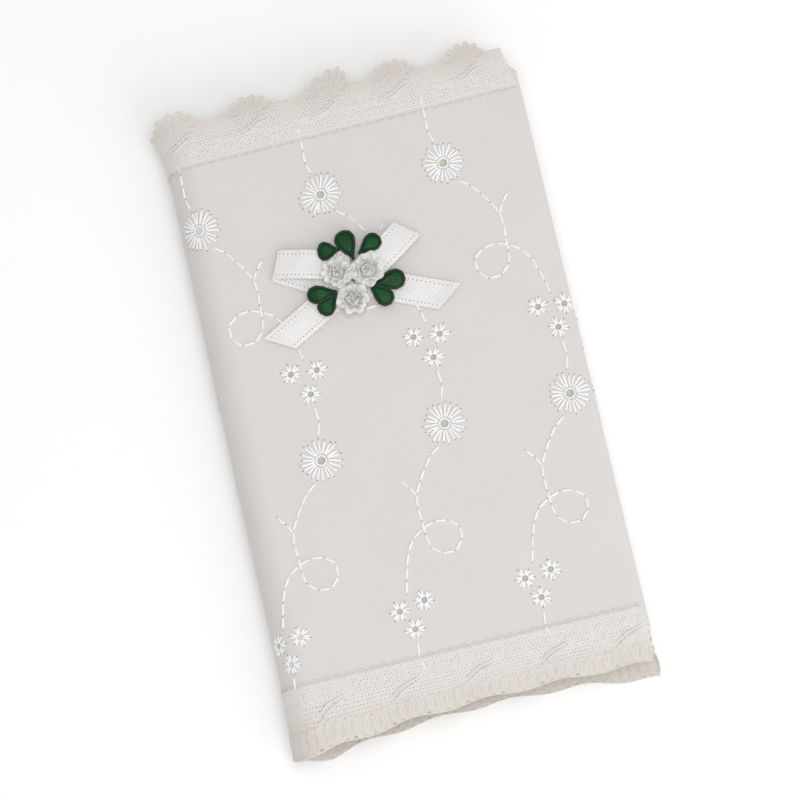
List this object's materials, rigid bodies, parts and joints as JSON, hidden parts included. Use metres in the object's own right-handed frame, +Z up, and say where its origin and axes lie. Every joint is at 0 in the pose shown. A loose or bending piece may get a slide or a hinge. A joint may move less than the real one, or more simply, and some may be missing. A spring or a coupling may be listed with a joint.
{
  "type": "prayer book",
  "caption": "Small closed prayer book in an embroidered white cloth jacket with lace at head and tail and a satin bow with ribbon roses; it opens at its middle.",
  "frame": {"origin": "bottom centre of the closed book, on the surface it lies on", "axes": "+X from the spine to the fore edge, +Y from the tail to the head, +Z up from the back cover to the front cover"},
  "size_m": [0.089, 0.155, 0.0212],
  "materials": {
    "cover_board": "white paper-covered board",
    "endpaper": "matt",
    "leaf_paper": "matt",
    "jacket_cloth": "fine plain weave",
    "lace": "open lace",
    "headband_silk": "satin",
    "embroidery_thread": "satin stitch",
    "satin_ribbon": "satin",
    "rose_ribbon": "sheer satin",
    "leaf_satin": "satin"
  },
  "bodies": {
    "back_cover": {"back_board": "cover_board", "back_pastedown": "endpaper", "jacket_back": "jacket_cloth", "back_flap": "jacket_cloth", "lace_head_back": "lace", "lace_tail_back": "lace", "daisies_back": "embroidery_thread", "small_flowers_back": "embroidery_thread"},
    "rear_leaves": {"back_flyleaf": "endpaper", "section_05": "leaf_paper", "section_06": "leaf_paper", "section_07": "leaf_paper", "section_08": "leaf_paper"},
    "spine": {"jacket_spine": "jacket_cloth", "spine_card": "cover_board", "sewn_backs": "leaf_paper", "headband_head": "headband_silk", "headband_tail": "headband_silk", "lace_head_spine": "lace", "lace_tail_spine": "lace"},
    "front_cover": {"front_board": "cover_board", "front_pastedown": "endpaper", "jacket_front": "jacket_cloth", "front_flap": "jacket_cloth", "lace_head_front": "lace", "lace_tail_front": "lace", "daisies_front": "embroidery_thread", "small_flowers_front": "embroidery_thread", "bow_ribbon": "satin_ribbon", "bow_stitches": "embroidery_thread", "rose_left": "rose_ribbon", "rose_right": "rose_ribbon", "rose_lower": "rose_ribbon", "leaf_01": "leaf_satin", "leaf_02": "leaf_satin", "leaf_03": "leaf_satin", "leaf_04": "leaf_satin", "leaf_05": "leaf_satin", "leaf_06": "leaf_satin", "leaf_07": "leaf_satin"},
    "leaves_01": {"front_flyleaf": "endpaper", "section_01": "leaf_paper"},
    "leaves_02": {"section_02": "leaf_paper"},
    "leaves_03": {"section_03": "leaf_paper"},
    "leaves_04": {"section_04": "leaf_paper"}
  },
  "joints": [
    {"name": "leaves_01_turn", "type": "hinge", "parent": "rear_leaves", "child": "leaves_01", "pos_m": [-0.036, 0, 0.008], "axis": [0, -1, 0], "range_deg": [0, 172]},
    {"name": "leaves_02_turn", "type": "hinge", "parent": "rear_leaves", "child": "leaves_02", "pos_m": [-0.036, 0, 0.008], "axis": [0, -1, 0], "range_deg": [0, 171]},
    {"name": "leaves_03_turn", "type": "hinge", "parent": "rear_leaves", "child": "leaves_03", "pos_m": [-0.036, 0, 0.008], "axis": [0, -1, 0], "range_deg": [0, 170]},
    {"name": "leaves_04_turn", "type": "hinge", "parent": "rear_leaves", "child": "leaves_04", "pos_m": [-0.036, 0, 0.008], "axis": [0, -1, 0], "range_deg": [0, 169]},
    {"name": "leaves_shift", "type": "slide", "parent": "back_cover", "child": "rear_leaves", "axis": [-1, 0, 0], "range_m": [0, 0.007]},
    {"name": "spine_tilt", "type": "hinge", "parent": "back_cover", "child": "spine", "pos_m": [-0.0365, 0, 0], "axis": [0, -1, 0], "range_deg": [0, 86]},
    {"name": "cover_swing", "type": "hinge", "parent": "spine", "child": "front_cover", "pos_m": [-0.0365, 0, 0.016], "axis": [0, -1, 0], "range_deg": [0, 86]}
  ],
  "couplings": [
    {"joint": "leaves_02_turn", "follows": "leaves_01_turn", "ratio": 0.99419},
    {"joint": "leaves_03_turn", "follows": "leaves_01_turn", "ratio": 0.98837},
    {"joint": "leaves_04_turn", "follows": "leaves_01_turn", "ratio": 0.98256},
    {"joint": "leaves_shift", "follows": "leaves_01_turn", "m_per_rad": 0.0023318},
    {"joint": "spine_tilt", "follows": "leaves_01_turn", "ratio": 0.5},
    {"joint": "cover_swing", "follows": "leaves_01_turn", "ratio": 0.5}
  ]
}
